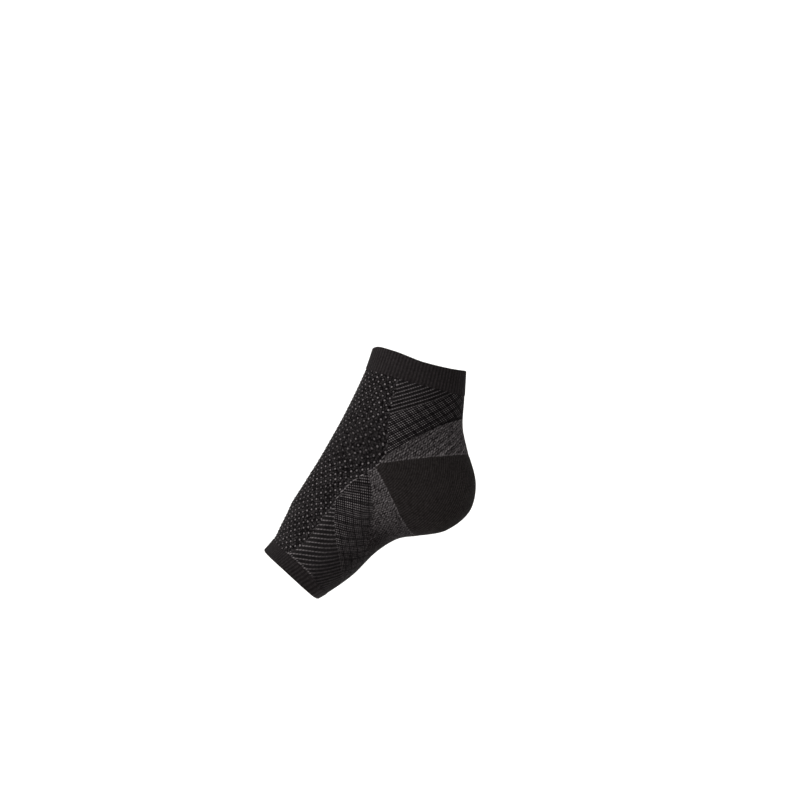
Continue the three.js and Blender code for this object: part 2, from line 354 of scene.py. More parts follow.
# The ribs reach this far down from the top of the welt's round edges, and lean round it for each metre down
CUFF_RIB_REACH = 0.0006
CUFF_RIB_LEAN = 0.10
# Points round a cuff's free rim, and round its edge on the panels
RIM_POINTS = 13
EDGE_POINTS = 5
# How far the share of light yarn rises on a crest, and its base between the crests
CUFF_LIGHT = (0.054, 0.030)
# The inside of a thick zone shows the backs of its stitches, with half of the light yarn
THICK_INSIDE_LIGHT = 0.5
# A stitch is drawn about twice as large as a real one each way, so that it shows in the render
STITCH = 0.0010
# The worn rim stands higher at the front and at the back, and its front corner is rubbed round: how far, and
# the angles over which each dies away
FRONT_RISE = 0.0018
FRONT_ANGLES = (1.7, 1.0)
CORNER_DROP = 0.0024
CORNER_ANGLE = 0.36
BACK_RISE = 0.0018
BACK_ANGLE = 0.75


def soft_step(low, high, value):
    """Smooth rise from 0 at low to 1 at high."""
    t = np.clip((value - low) / (high - low), 0, 1)
    return t * t * (3 - 2 * t)


def cuff_profile(length, rows):
    """Stations and heights down a cuff from its free rim: a half round at the rim, the flat outer face, and a
    quarter round down to the panels."""
    radius = CUFF_WALL / 2
    rim_turn = np.linspace(-math.pi / 2, math.pi / 2, RIM_POINTS)
    edge_turn = np.linspace(0, math.pi / 2, EDGE_POINTS)[1:]
    rim = radius - radius * np.cos(rim_turn)
    face = np.linspace(radius, length - CUFF_PROUD, rows + 1)[1:]
    down = np.concatenate([rim, face, face[-1] + CUFF_PROUD * np.sin(edge_turn)])
    rim_height = CUFF_PROUD - radius + radius * np.sin(rim_turn)
    up = np.concatenate([rim_height, np.full(rows, CUFF_PROUD), CUFF_PROUD * np.cos(edge_turn)])
    return down, up


def cuff(at, angle, heights, light):
    """Outer heights, yarn, inner height and maps of a ring with ribs that run along the leg and lean a
    little on its sides: the outer face is lowered by a cosine round the sleeve."""
    up = heights[:, None]
    lean = CUFF_RIB_LEAN * at * np.abs(np.sin(angle))
    half_round = knit_length(ROUND_TABLE, at, np.full_like(at, math.pi))
    turn = (knit_length(ROUND_TABLE, at, angle) + lean) / half_round
    turn = np.where(angle > math.pi, 2 - turn, turn) / 2
    valley = 0.5 - 0.5 * np.cos(2 * math.pi * CUFF_RIBS * turn)
    up = up - CUFF_RIB_DEPTH * valley * (up > CUFF_PROUD - CUFF_RIB_REACH)
    maps = {
        "stitches": np.stack([2 * CUFF_RIBS * turn + 0.5, at / STITCH], axis=-1),
        "pattern": np.stack([CUFF_RIBS * turn, at / STITCH], axis=-1),
    }
    return up, {"light_yarn": (light, THICK_INSIDE_LIGHT)}, CUFF_PROUD - CUFF_WALL, maps


def fine_rib(tree):
    """Share of light on the cuffs: a little on each rib."""
    rib = map_parts(tree, "pattern")[0]
    return yarn_ridges(tree, rib, sharpness=1.0, light=CUFF_LIGHT)


# Fine ribs of black nylon: matt, dark, with a soft light line along each rib
plain_rib_knit = knit_material(
    "black nylon rib knit", ground="#151011", light=LIGHT_YARN, grain=0.4, relief=STITCH_RELIEF,
    pattern=fine_rib
)
CUFF_TURN = np.linspace(0, 2 * math.pi, 721)
leg_down, leg_heights = cuff_profile(LEG_CUFF_EDGE, rows=32)
at, angle = np.meshgrid(leg_down, CUFF_TURN, indexing="ij")
from_front = np.arccos(np.cos(angle))
rim_rise = FRONT_RISE * soft_step(*FRONT_ANGLES, from_front)
rim_rise = rim_rise - CORNER_DROP * np.exp(-(from_front / CORNER_ANGLE) ** 2)
rim_rise = rim_rise + BACK_RISE * np.exp(-((from_front - math.pi) / BACK_ANGLE) ** 2)
at = at - rim_rise * (1 - at / LEG_CUFF_EDGE)
leg_cuff = knit_wall("leg_cuff_welt", at, angle, *cuff(at, angle, leg_heights, light=1.0), ring=True)
dress(leg_cuff, plain_rib_knit, "leg_cuff")

# Instep panel
# The front of the sleeve from cuff to cuff, in one layer of jacquard knit: black nylon with small raised
# dots, half-dropped, where a light grey yarn comes up out of dark pits. Light floats end along its sides.
TOE_CUFF_EDGE = 0.1626
PANEL_WALL = 0.0016
# Stations, and the panel's side edge there in degrees round from the front
INSTEP_EDGE = np.array([
    (0.017, 71.5), (0.040, 73.0), (0.062, 77.5), (0.080, 81.0), (0.091, 76.5), (0.104, 63.0), (0.115, 61.0),
    (0.132, 70.0), (0.147, 73.5), (0.156, 70.0), (0.163, 61.0),
])
# Stations, and how densely the columns of dots stand there: the wales spread where the ankle bends
WALE_DENSITY = np.array([
    (0.017, 1.02), (0.045, 0.99), (0.061, 0.92), (0.070, 0.85), (0.078, 0.82), (0.085, 0.82), (0.092, 0.86),
    (0.101, 0.94), (0.110, 1.01), (0.130, 1.02), (0.163, 1.00),
])
DOT_ROW = 0.00278
DOT_COLUMN = 0.0030
DOT_HEIGHT = 0.00030
STITCHES_PER_DOT = 3
# Distances from a dot's middle over which it rises, its light fades and its pit ends, in lattice steps
DOT_RISE = (0.07, 0.25)
DOT_FADE = (0.26, 0.04)
PIT_FADE = (0.24, 0.46)
# Shares of light yarn on a dot, in its pit, on the ground and evened out, and how far dots and stitches vary
DOT_LIGHT = 0.80
PIT_LIGHT = 0.002
GROUND_LIGHT = 0.060
EVEN_LIGHT = 0.06
DOT_UNEVEN = (0.6, 1.15)
STITCH_UNEVEN = (0.2, 1.9)
# The rows of dots sag towards the sides, from a little way round the front
ROW_SAG = 0.06
ROW_SAG_START = 0.006
# Stations between which the courses turn, the gussets meet the panel, and the bend of the ankle stretches
# it, and the shares of its width between which that shows
COURSE_TURN = (0.060, 0.125)
GUSSETS_MEET = (0.080, 0.090, 0.112, 0.124)
BEND_STATIONS = (0.045, 0.065, 0.084, 0.096)
BEND_SIDES = (0.15, 0.50, 0.86, 0.98)
# How far the bend dims the dots and evens them out, and the floats' light along the sides and at the gussets
BEND_DIMMER = 0.08
BEND_EVEN = 0.45
INSTEP_FLOATS = 0.10
MEETING_FLOATS = 0.60
# The inside of a panel shows still less of the light yarn
INSIDE_LIGHT = 0.4


def instep_edge(at):
    """Angle of the instep panel's side edge at a station."""
    return np.radians(smooth_rows(INSTEP_EDGE[:, 0], INSTEP_EDGE[:, 1:], at)[..., 0])


def ridge_lines(phase, sharpness):
    """Ridges at whole numbers of the phase: a raised cosine to a power."""
    return (0.5 + 0.5 * np.cos(2 * math.pi * phase)) ** sharpness


def soft_band(low, rise, fall, high, value):
    """Smooth rise from 0 at low to 1 at rise, and back from 1 at fall to 0 at high."""
    return soft_step(low, rise, value) * soft_step(high, fall, value)


def toe_length(at, angle):
    """Length along the knit up from the toe rim."""
    return knit_length(DOWN_TABLE, np.full_like(at, TOE_RIM), angle) - knit_length(DOWN_TABLE, at, angle)


down, side = np.meshgrid(np.linspace(0, 1, 337), np.linspace(-1, 1, 225), indexing="ij")
at = LEG_CUFF_EDGE + (TOE_CUFF_EDGE - LEG_CUFF_EDGE) * down
angle = side * instep_edge(at)
across = knit_length(ROUND_TABLE, at, angle)
# Courses run along the leg cuff at the top and along the toe cuff at the bottom
turned = soft_step(*COURSE_TURN, at)
from_leg = knit_length(DOWN_TABLE, at, angle)
from_toes = toe_length(at, angle)
course = from_leg * (1 - turned) + (DOWN_TABLE[-1, 0] - from_toes) * turned
dot_row = (course - ROW_SAG * (np.hypot(across, ROW_SAG_START) - ROW_SAG_START)) / DOT_ROW
density = smooth_rows(WALE_DENSITY[:, 0], WALE_DENSITY[:, 1:], at)[..., 0]
dot_column = np.sign(angle) * across * density / DOT_COLUMN
lattice = np.stack([dot_row + dot_column, dot_row - dot_column], axis=-1) / 2
dot = 1 - soft_step(*DOT_RISE, np.linalg.norm(lattice - np.round(lattice), axis=-1))
to_edge = knit_length(ROUND_TABLE, at, instep_edge(at)) - across
maps = {
    "stitches": STITCHES_PER_DOT * np.stack([dot_column, dot_row], axis=-1),
    "pattern": lattice,
    "edge": np.stack([to_edge, dot_row / 2], axis=-1),
}
bent = soft_band(*BEND_STATIONS, at) * soft_band(*BEND_SIDES, np.abs(side))
yarn = {
    "light_yarn": (1.0 - BEND_DIMMER * bent, INSIDE_LIGHT),
    "even_yarn": (BEND_EVEN * bent, 0.0),
    "float_yarn": (INSTEP_FLOATS + MEETING_FLOATS * soft_band(*GUSSETS_MEET, at), 0.0),
}
instep = knit_wall("instep_dot_knit", at, angle, DOT_HEIGHT * dot, yarn, -PANEL_WALL, maps)


def random_share(tree, numbers, low, high):
    """A share between low and high that each pair of whole numbers takes at random."""
    random = add_node(tree, "TexWhiteNoise", {"Vector": numbers}, noise_dimensions="2D")
    return add_node(tree, "MapRange", [random, 0.0, 1.0, low, high])


def dots_in_pits(tree):
    """Share of light by the distance to the nearest dot, in steps of the lattice: full on the dot, none in
    the pit round it, and a little on the ground between the pits, more on one stitch than on the next. All
    of it is evened out as even_yarn says."""
    lattice = add_node(tree, "UVMap", [], uv_map="pattern")
    shifted = add_node(tree, "VectorMath", [lattice, (0.5, 0.5, 0.0)], operation="ADD")
    cell = add_node(tree, "VectorMath", [shifted], operation="FRACTION")
    offset = add_node(tree, "VectorMath", [cell, (0.5, 0.5, 0.0)], operation="SUBTRACT")
    distance = add_node(tree, "VectorMath", [offset], output="Value", operation="LENGTH")
    smooth = {"interpolation_type": "SMOOTHSTEP"}
    dot = add_node(tree, "MapRange", [distance, *DOT_FADE, 0.0, DOT_LIGHT], **smooth)
    which = add_node(tree, "VectorMath", [shifted], operation="FLOOR")
    ground = add_node(tree, "MapRange", [distance, *PIT_FADE, PIT_LIGHT, GROUND_LIGHT], **smooth)
    stitches = add_node(tree, "UVMap", [], uv_map="stitches")
    stitches = add_node(tree, "VectorMath", [stitches], operation="FLOOR")
    stitch = random_share(tree, stitches, *STITCH_UNEVEN)
    ground = add_node(tree, "Math", [ground, stitch], operation="MULTIPLY")
    uneven = random_share(tree, which, *DOT_UNEVEN)
    dotted = add_node(tree, "Math", [dot, uneven, ground], operation="MULTIPLY_ADD")
    even = add_node(tree, "Attribute", [], output="Fac", attribute_name="even_yarn")
    return add_node(tree, "Mix", {0: even, 2: dotted, 3: EVEN_LIGHT}, data_type="FLOAT")


# Jacquard of black nylon with grey dots: matt black ground, and crisp light points that stand up from it
JACQUARD_GROUND = "#070405"
dot_knit = knit_material(
    "nylon dot jacquard knit", ground=JACQUARD_GROUND, light=LIGHT_YARN, grain=1.0, relief=STITCH_RELIEF,
    pattern=dots_in_pits, floats=True
)
dress(instep, dot_knit, "instep_panel")

# Ankle panel
# The zone beside and behind the ankle: slanting ribs under the cuff that turn into a fine hatch with dark
# windowpane lines lower down, knitted on in one piece with its neighbours.

# A border round the back: its stations at the instep panel and at the back, and the power of its sweep
ANKLE_TO_GUSSET = (0.0855, 0.044, 2.1)
# Where the last rib passes, down the leg and round it, and the counts between which the hatch sets in
LAST_RIB = (0.0377, 0.0594)
RIBS_END = (-0.3, 0.7)
RIB_SLANT = math.radians(37)
RIB_SPACING = 0.0031
RIB_HEIGHT = 0.00022
HATCH_HEIGHT = 0.00011
CROSS_SLANT = math.radians(26)
CROSS_SPACING = 0.00141
# The panes stand on a steeper slant than the ribs: their count as a mix of the counts of ribs and of cross
# lines, the fine lines in one, and the cross lines from one dark cut to the next
PANE_RIBS = 0.464
PANE_CROSS = 0.0384
PANE_LINES = 3.8
PANE_CUT = 4
# Distances above the gusset between which plain courses take on the figure, and the painted shade round the
# back
PLAIN_COURSES = (0.0013, 0.00312)
PLAIN_LIGHT = 0.3
ANKLE_BACK_SHADE = 0.42
ANKLE_BACK_SHADE_ROUND = (0.054, 0.086)
# Rise and base of the light on ribs, beads and dashes, and the light off and on a dark line
RIB_LIGHT = (0.62, 0.034)
BEAD_LIGHT = (0.75, 0.25)
DASH_LIGHT = (0.95, 0.05)
ROWS_LIT = (0.88, 0.20)
CUTS_LIT = (1.0, 0.30)


def wrap_grid(upper, lower, rows, columns):
    """Stations and angles of a zone that runs from one edge of the instep panel to the other by way of the
    back, with the shares down it and round it from the back: down goes between its borders, and each line
    sweeps from its station at the front to the one at the back."""
    down, side = np.meshgrid(np.linspace(0, 1, rows), np.linspace(-1, 1, columns), indexing="ij")
    front, back, sweep = (first + (last - first) * down for first, last in zip(upper, lower))
    at = back + (front - back) * np.abs(side) ** sweep
    return at, math.pi + side * (math.pi - instep_edge(front)), down, np.abs(side)


def grid_lengths(at, angle, axis):
    """Lengths along a grid's lines on one of its axes, summed from their first points."""
    steps = np.linalg.norm(np.diff(sleeve_point(at, angle), axis=axis), axis=-1)
    return np.pad(np.cumsum(steps, axis=axis), ((1, 0), (0, 0)) if axis == 0 else ((0, 0), (1, 0)))


at, angle = wrap_grid((LEG_CUFF_EDGE, LEG_CUFF_EDGE, 1.0), ANKLE_TO_GUSSET, rows=161, columns=457)[:2]
along = knit_length(DOWN_TABLE, at, angle)
across = knit_length(ROUND_TABLE, at, angle)
below, beside = along - LAST_RIB[0], across - LAST_RIB[1]
rib_phase = (below * math.cos(RIB_SLANT) + beside * math.sin(RIB_SLANT)) / RIB_SPACING
cross_phase = (beside * math.sin(CROSS_SLANT) - below * math.cos(CROSS_SLANT)) / CROSS_SPACING
pane_phase = PANE_RIBS * rib_phase + PANE_CROSS * cross_phase
past_ribs = soft_step(*RIBS_END, rib_phase)
rib = ridge_lines(rib_phase, 2) * (1 - past_ribs)
hatch = ridge_lines(PANE_LINES * pane_phase + 0.5, 1) * past_ribs
maps = {
    "stitches": np.stack([across, along], axis=-1) / STITCH,
    "pattern": np.stack([rib_phase, cross_phase], axis=-1),
}
drop = grid_lengths(at, angle, 0)
figured = soft_step(*PLAIN_COURSES, drop[-1:] - drop)
ankle_light = PLAIN_LIGHT + (1 - PLAIN_LIGHT) * figured
# Painted shade: less light yarn round towards the back of the ankle
ankle_light = ankle_light * (1 - ANKLE_BACK_SHADE * soft_step(*ANKLE_BACK_SHADE_ROUND, across))
yarn = {"light_yarn": (ankle_light, INSIDE_LIGHT)}
raised = RIB_HEIGHT * rib + HATCH_HEIGHT * hatch
ankle = knit_wall("ankle_rib_knit", at, angle, raised, yarn, -PANEL_WALL, maps)


def ribs_then_hatch(tree):
    """Share of light: thin lines on the ribs, and past the last rib finer lines broken into dashes, with dark
    lines both ways that part them into panes of four."""
    rib, cross = map_parts(tree, "pattern")
    beads = yarn_ridges(tree, cross, sharpness=1.0, light=BEAD_LIGHT)
    rib_line = add_node(tree, "Math", [yarn_ridges(tree, rib, sharpness=6.0), beads], operation="MULTIPLY")
    rib_line = add_node(tree, "Math", [rib_line, *RIB_LIGHT], operation="MULTIPLY_ADD")
    pane = add_node(tree, "Math", [rib, PANE_RIBS], operation="MULTIPLY")
    pane = add_node(tree, "Math", [cross, PANE_CROSS, pane], operation="MULTIPLY_ADD")
    fine = add_node(tree, "Math", [pane, PANE_LINES, 0.5], operation="MULTIPLY_ADD")
    fine_line = yarn_ridges(tree, fine, sharpness=1.2)
    dashes = yarn_ridges(tree, cross, sharpness=1.3, light=DASH_LIGHT)
    between = yarn_ridges(tree, pane, sharpness=9.0)
    cut = add_node(tree, "Math", [cross, 1 / PANE_CUT], operation="MULTIPLY")
    cuts = yarn_ridges(tree, cut, sharpness=12.0)
    rows_lit = add_node(tree, "MapRange", [between, 0.0, 1.0, *ROWS_LIT])
    cuts_lit = add_node(tree, "MapRange", [cuts, 0.0, 1.0, *CUTS_LIT])
    lit = add_node(tree, "Math", [rows_lit, cuts_lit], operation="MULTIPLY")
    hatch = add_node(tree, "Math", [fine_line, dashes], operation="MULTIPLY")
    hatch = add_node(tree, "Math", [hatch, lit], operation="MULTIPLY")
    past = add_node(tree, "MapRange", [rib, *RIBS_END], interpolation_type="SMOOTHSTEP")
    return add_node(tree, "Mix", {0: past, 2: rib_line, 3: hatch}, data_type="FLOAT")


# Float jacquard of black nylon with grey lines: matt, with thin light ridges over a dark ground
rib_knit = knit_material(
    "nylon hatch jacquard knit", ground=JACQUARD_GROUND, light=LIGHT_YARN, grain=0.6, relief=STITCH_RELIEF,
    pattern=ribs_then_hatch
)
dress(ankle, rib_knit, "ankle_panel")

# Upper gusset
# The wedge from the instep to the back that gives the heel its room: a marled yarn, black twisted with light
# grey, in plain stitches with faint slanting bands and a lighter course along the heel.
GUSSET_TO_HEEL = (0.090, 0.079, 2.4)
BAND_SLANT = math.radians(51)
BAND_SPACING = 0.0032
# Light between the bands, its rise on a band, and towards the back its rise and fall on every second band
MARL_BASE = 0.70
BAND_LIGHT = 0.6
WIDE_BAND_LIGHT = 0.8
WIDE_BAND_DARKER = 0.3
WIDE_BANDS_ROUND = (0.085, 0.100)
UPPER_FLOATS = 0.26
# Rates of two slanting lines of light plies, along the leg and round it, in lines for each metre: a little
# coarser than the stitches, so that they show in the render
UPPER_PLIES = ((300.0, 380.0), (-75.0, 535.0))
PLY_HEIGHT = 0.00010
PLY_WANDER = 0.004
PLY_WANDER_TURNS = 1.3
# Stitches, each way, that share one mix of the two yarns, drawn coarser than a stitch so that it shows
MARL_STITCHES = 1.25
# Light where the plies cross and in the mix of a stitch, from the least to the most
PLY_LIGHT = (0.22, 0.54)
MIX_LIGHT = (0.0, 0.19)
DASH = 0.0026
MARL_RELIEF = 0.00014


def raised_plies(plies):
    """Height of the light plies: highest where two lines cross, at the middle of their wander."""
    first, second = np.moveaxis(plies, -1, 0)
    lines = ridge_lines(first + PLY_WANDER_TURNS / 2, 1) * ridge_lines(second - PLY_WANDER_TURNS / 2, 1)
    return PLY_HEIGHT * lines


at, angle = wrap_grid(ANKLE_TO_GUSSET, GUSSET_TO_HEEL, rows=73, columns=361)[:2]
along = knit_length(DOWN_TABLE, at, angle)
across = knit_length(ROUND_TABLE, at, angle)
band = (along * math.cos(BAND_SLANT) + across * math.sin(BAND_SLANT)) / BAND_SPACING
drop = grid_lengths(at, angle, 0)
plies = np.stack([along * rate + across * round_rate for rate, round_rate in UPPER_PLIES], axis=-1)
maps = {
    "stitches": np.stack([across, along], axis=-1) / STITCH,
    "pattern": plies,
    "edge": np.stack([drop[-1:] - drop, across / DASH], axis=-1),
}
wide_bands = WIDE_BAND_LIGHT * (ridge_lines(band / 2, 1) - WIDE_BAND_DARKER)
wide_bands = wide_bands * soft_step(*WIDE_BANDS_ROUND, across)
marl_light = MARL_BASE + (BAND_LIGHT * ridge_lines(band, 1) + wide_bands)
yarn = {"light_yarn": (marl_light, 1.0), "float_yarn": (UPPER_FLOATS, 0.0)}
upper_gusset = knit_wall("upper_gusset_knit", at, angle, raised_plies(plies), yarn, -PANEL_WALL, maps)


def marl_plies(tree):
    """Share of light in the marled yarn: where two slanting lines of light plies cross, both wandering a
    little, and more on one crossing than on the next, and the mix that each stitch happens to take."""
    place = add_node(tree, "TexCoord", [], output="Object")
    wander = add_node(tree, "TexNoise", {"Vector": place, "Scale": 1 / PLY_WANDER, "Detail": 1.0})
    first, second = map_parts(tree, "pattern")
    first = add_node(tree, "Math", [wander, PLY_WANDER_TURNS, first], operation="MULTIPLY_ADD")
    second = add_node(tree, "Math", [wander, -PLY_WANDER_TURNS, second], operation="MULTIPLY_ADD")
    ridges = [yarn_ridges(tree, phase, sharpness=1.0) for phase in (first, second)]
    crossing = add_node(tree, "Math", ridges, operation="MULTIPLY")
    counts = [add_node(tree, "Math", [phase], operation="ROUND") for phase in (first, second)]
    uneven = random_share(tree, add_node(tree, "CombineXYZ", counts), *PLY_LIGHT)
    stitches = add_node(tree, "UVMap", [], uv_map="stitches")
    stitches = add_node(tree, "VectorMath", [stitches, (MARL_STITCHES,) * 3], operation="DIVIDE")
    stitches = add_node(tree, "VectorMath", [stitches], operation="FLOOR")
    mix = random_share(tree, stitches, *MIX_LIGHT)
    return add_node(tree, "Math", [crossing, uneven, mix], operation="MULTIPLY_ADD")


# Plain knit of black and grey marl: each stitch takes its own mix, so the face is grainy grey
marl_knit = knit_material(
    "black and grey marled knit", ground="#120d0e", light=LIGHT_YARN, grain=0.6, relief=MARL_RELIEF,
    pattern=marl_plies, floats=True
)
dress(upper_gusset, marl_knit, "upper_gusset")

# Heel cup
# The thick plain heel, knitted to and fro in black: its courses run back from the instep and end on the
# gussets, and its wales bend round the heel in arcs. It swells a little above the gussets.
HEEL_TO_GUSSET = (0.093, 0.1255, 3.2)
HEEL_WALL = 0.0022
HEEL_PROUD = 0.0003
# The arcs take this part of the swell, and are drawn coarser than real wales, so that they show in the render
HEEL_RIB = 0.00175
HEEL_RIB_PART = 0.35
HEEL_LIGHT = (0.066, 0.022)
# Shares of the way down between which the heel swells, and of the way round from the back, and down, between
# which painted shade darkens its lower back, and the back is stretched lighter
HEEL_SWELL = (0.0, 0.05, 0.95, 1.0)
HEEL_SHADE_ROUND = (0.45, 0.15)
HEEL_SHADE_DOWN = (0.55, 0.80)
HEEL_SHADE_DARKER = 0.7
STRETCHED_ROUND = (0.60, 0.30)
STRETCHED_DOWN = (0.60, 0.40)
STRETCHED_LIGHTER = 0.25
at, angle, down, side = wrap_grid(GUSSET_TO_HEEL, HEEL_TO_GUSSET, rows=81, columns=641)
swell = soft_band(*HEEL_SWELL, down)
drop = grid_lengths(at, angle, 0)
run = grid_lengths(at, angle, 1)
run = np.minimum(run, run[:, -1:] - run)
maps = {
    "stitches": np.stack([run / HEEL_RIB, (drop - drop[-1:] / 2) / STITCH], axis=-1),
    "pattern": np.stack([run, drop], axis=-1) / HEEL_RIB,
}
# Painted shade: the colour of the heel's lower back is darkened
heel_shade = soft_step(*HEEL_SHADE_ROUND, side) * soft_step(*HEEL_SHADE_DOWN, down)
stretched = soft_step(*STRETCHED_ROUND, side) * soft_step(*STRETCHED_DOWN, down)
heel_light = 1.0 + STRETCHED_LIGHTER * stretched - HEEL_SHADE_DARKER * heel_shade
yarn = {"light_yarn": (heel_light, THICK_INSIDE_LIGHT)}
raised = HEEL_PROUD * swell * (1 - HEEL_RIB_PART + HEEL_RIB_PART * ridge_lines(run / HEEL_RIB, 1))
heel = knit_wall("heel_knit", at, angle, raised, yarn, HEEL_PROUD - HEEL_WALL, maps)


def heel_arcs(tree):
    """Share of light on the heel: a little, rising on each arc."""
    arc = map_parts(tree, "pattern")[0]
    return yarn_ridges(tree, arc, sharpness=1.0, light=HEEL_LIGHT)


# Thick plain knit of black nylon: even and matt, with hardly any light on its arcs
heel_knit = knit_material(
    "black nylon plain knit", ground="#15100f", light="#aaa3a2", grain=0.45, relief=STITCH_RELIEF,
    pattern=heel_arcs
)
dress(heel, heel_knit, "heel_cup")

# Lower gusset
# The matching wedge from the instep to the sole, knitted on between the heel and the arch in the same
# marled yarn as the upper one. It is painted darker towards the sole as shade, and darker towards the toes.
GUSSET_TO_ARCH = (0.097, 0.1425, 3.0)
LOWER_PLIES = ((350.0, 600.0), (-105.0, 525.0))
LOWER_LIGHT = 1.12
LOWER_FLOATS = 0.25
# How far the light yarn fades towards the sole, as painted shade, and towards the toes, and between which
# lengths round and from the toes
SOLE_SHADE = 0.50
SOLE_SHADE_ROUND = (0.078, 0.096)
TOE_FADE = 0.7
TOE_FADE_LENGTHS = (0.086, 0.060)
at, angle = wrap_grid(HEEL_TO_GUSSET, GUSSET_TO_ARCH, rows=81, columns=361)[:2]
across = knit_length(ROUND_TABLE, at, angle)
from_toes = toe_length(at, angle)
plies = np.stack([across * round_rate - from_toes * rate for rate, round_rate in LOWER_PLIES], axis=-1)
maps = {
    "stitches": np.stack([across, from_toes], axis=-1) / STITCH,
    "pattern": plies,
    "edge": np.stack([grid_lengths(at, angle, 0), across / DASH], axis=-1),
}
# Painted shade: less light yarn towards the sole
marl_light = LOWER_LIGHT - SOLE_SHADE * soft_step(*SOLE_SHADE_ROUND, across)
marl_light = marl_light * (1.0 - TOE_FADE * soft_step(*TOE_FADE_LENGTHS, from_toes))
yarn = {"light_yarn": (marl_light, 1.0), "float_yarn": (LOWER_FLOATS, 0.0)}
lower_gusset = knit_wall("lower_gusset_knit", at, angle, raised_plies(plies), yarn, -PANEL_WALL, maps)
dress(lower_gusset, marl_knit, "lower_gusset")

# Arch panel
# The compression zone under the arch: a fine raised grid on two slants across the stitches, with a dark
# line left out of it every fourth thread like a windowpane check. Towards the sole it evens out, and painted
# shade darkens it.
ARCH_TO_RIBS = (0.120, 0.155, 2.6)
# Threads for a metre up from the toes, their closing up for a square metre, and threads for a metre round
GRID_ROWS = (790.0, 1800.0, 290.0)
GRID_COLUMNS = (690.0, 2000.0, 440.0)
# Lengths round between which the rows turn towards the sole, and their further threads for a metre
GRID_ROW_TURN = (0.062, 0.076, 240.0)
GRID_HEIGHT = 0.00018
# Part of a row's height that follows the columns
COLUMN_PART = 0.6
# Threads in a pane each way, and how far the panes' borders are shifted, in panes
GRID_PANE_ROWS = 3.6
GRID_PANE_COLUMNS = 4.0
GRID_PANE_SHIFT = 0.125
# Rise and base of the light on the dashes, light where the grid is evened out, off and on a border, and on
# a pane from the least to the most, and how strong the borders stay where all is even
GRID_DASH_LIGHT = (0.92, 0.08)
GRID_EVEN_LIGHT = 0.26
BORDERS_LIT = (0.78, 0.13)
PANE_UNEVEN = (0.75, 1.2)
EVEN_BORDER = 0.55
# How far the light yarn fades towards the sole as painted shade, how far it evens out there, and between
# which lengths round
ARCH_SOLE_SHADE = 0.5
ARCH_EVEN = 0.55
ARCH_FADE_ROUND = (0.056, 0.078)


def soft_ramp(low, high, value):
    """Ramp that starts gently at low and climbs evenly past high: the running sum of soft_step."""
    t = np.clip((value - low) / (high - low), 0, 1)
    return (t ** 3 - t ** 4 / 2) * (high - low) + np.maximum(value - high, 0)


at, angle = wrap_grid(GUSSET_TO_ARCH, ARCH_TO_RIBS, rows=97, columns=401)[:2]
across = knit_length(ROUND_TABLE, at, angle)
from_toes = toe_length(at, angle)
turn_start, turn_end, turn = GRID_ROW_TURN
grid_row = from_toes * (GRID_ROWS[0] - GRID_ROWS[1] * from_toes) - GRID_ROWS[2] * across
grid_row = grid_row - turn * soft_ramp(turn_start, turn_end, across)
grid_column = from_toes * (GRID_COLUMNS[0] - GRID_COLUMNS[1] * from_toes) + GRID_COLUMNS[2] * across
raised = ridge_lines(grid_row, 1) * (1 - COLUMN_PART + COLUMN_PART * ridge_lines(grid_column, 1))
maps = {
    "stitches": np.stack([across, from_toes], axis=-1) / STITCH,
    "pattern": np.stack([grid_row, grid_column], axis=-1),
}
faded = soft_step(*ARCH_FADE_ROUND, across)
# Painted shade: less light yarn towards the sole, where the grid also evens out
yarn = {"light_yarn": (1.0 - ARCH_SOLE_SHADE * faded, INSIDE_LIGHT), "even_yarn": (ARCH_EVEN * faded, 1.0)}
arch = knit_wall("arch_grid_knit", at, angle, GRID_HEIGHT * raised, yarn, -PANEL_WALL, maps)


def grid_in_panes(tree):
    """Share of light: fine lines on the rows, dashed on the columns, which even out as even_yarn says, and
    dark borders round each pane of about four threads. Some panes take more light than others."""
    row, column = map_parts(tree, "pattern")
    dashes = yarn_ridges(tree, column, sharpness=1.3, light=GRID_DASH_LIGHT)
    grid = add_node(tree, "Math", [yarn_ridges(tree, row, sharpness=1.3), dashes], operation="MULTIPLY")
    even = add_node(tree, "Attribute", [], output="Fac", attribute_name="even_yarn")
    grid = add_node(tree, "Mix", {0: even, 2: grid, 3: GRID_EVEN_LIGHT}, data_type="FLOAT")
    counts = [
        add_node(tree, "Math", [row, 1 / GRID_PANE_ROWS, GRID_PANE_SHIFT], operation="MULTIPLY_ADD"),
        add_node(tree, "Math", [column, 1 / GRID_PANE_COLUMNS, GRID_PANE_SHIFT], operation="MULTIPLY_ADD"),
    ]
    borders = [yarn_ridges(tree, count, sharpness=9.0) for count in counts]
    border = add_node(tree, "Math", borders, operation="MAXIMUM")
    fainter = add_node(tree, "MapRange", [even, 0.0, 1.0, 1.0, EVEN_BORDER])
    border = add_node(tree, "Math", [border, fainter], operation="MULTIPLY")
    lit = add_node(tree, "MapRange", [border, 0.0, 1.0, *BORDERS_LIT])
    which = add_node(tree, "VectorMath", [add_node(tree, "CombineXYZ", counts)], operation="FLOOR")
    lit = add_node(tree, "Math", [lit, random_share(tree, which, *PANE_UNEVEN)], operation="MULTIPLY")
    return add_node(tree, "Math", [grid, lit], operation="MULTIPLY")


# Float jacquard in a fine grid: matt grey-black, like a small check
grid_knit = knit_material(
    "nylon grid jacquard knit", ground=JACQUARD_GROUND, light=LIGHT_YARN, grain=0.6, relief=STITCH_RELIEF,
    pattern=grid_in_panes
)
dress(arch, grid_knit, "arch_panel")

# Arch rib panel
# Raised ribs beside and under the front of the arch, which press on it: light yarn on the crests, black
# between. They turn fainter towards the sole, where painted shade darkens them, and a dashed light course
# closes the panel at the toe cuff.
ARCH_RIB_START = 0.00182
ARCH_RIB_SPACING = 0.00377
ARCH_RIB_HEIGHT = 0.00024
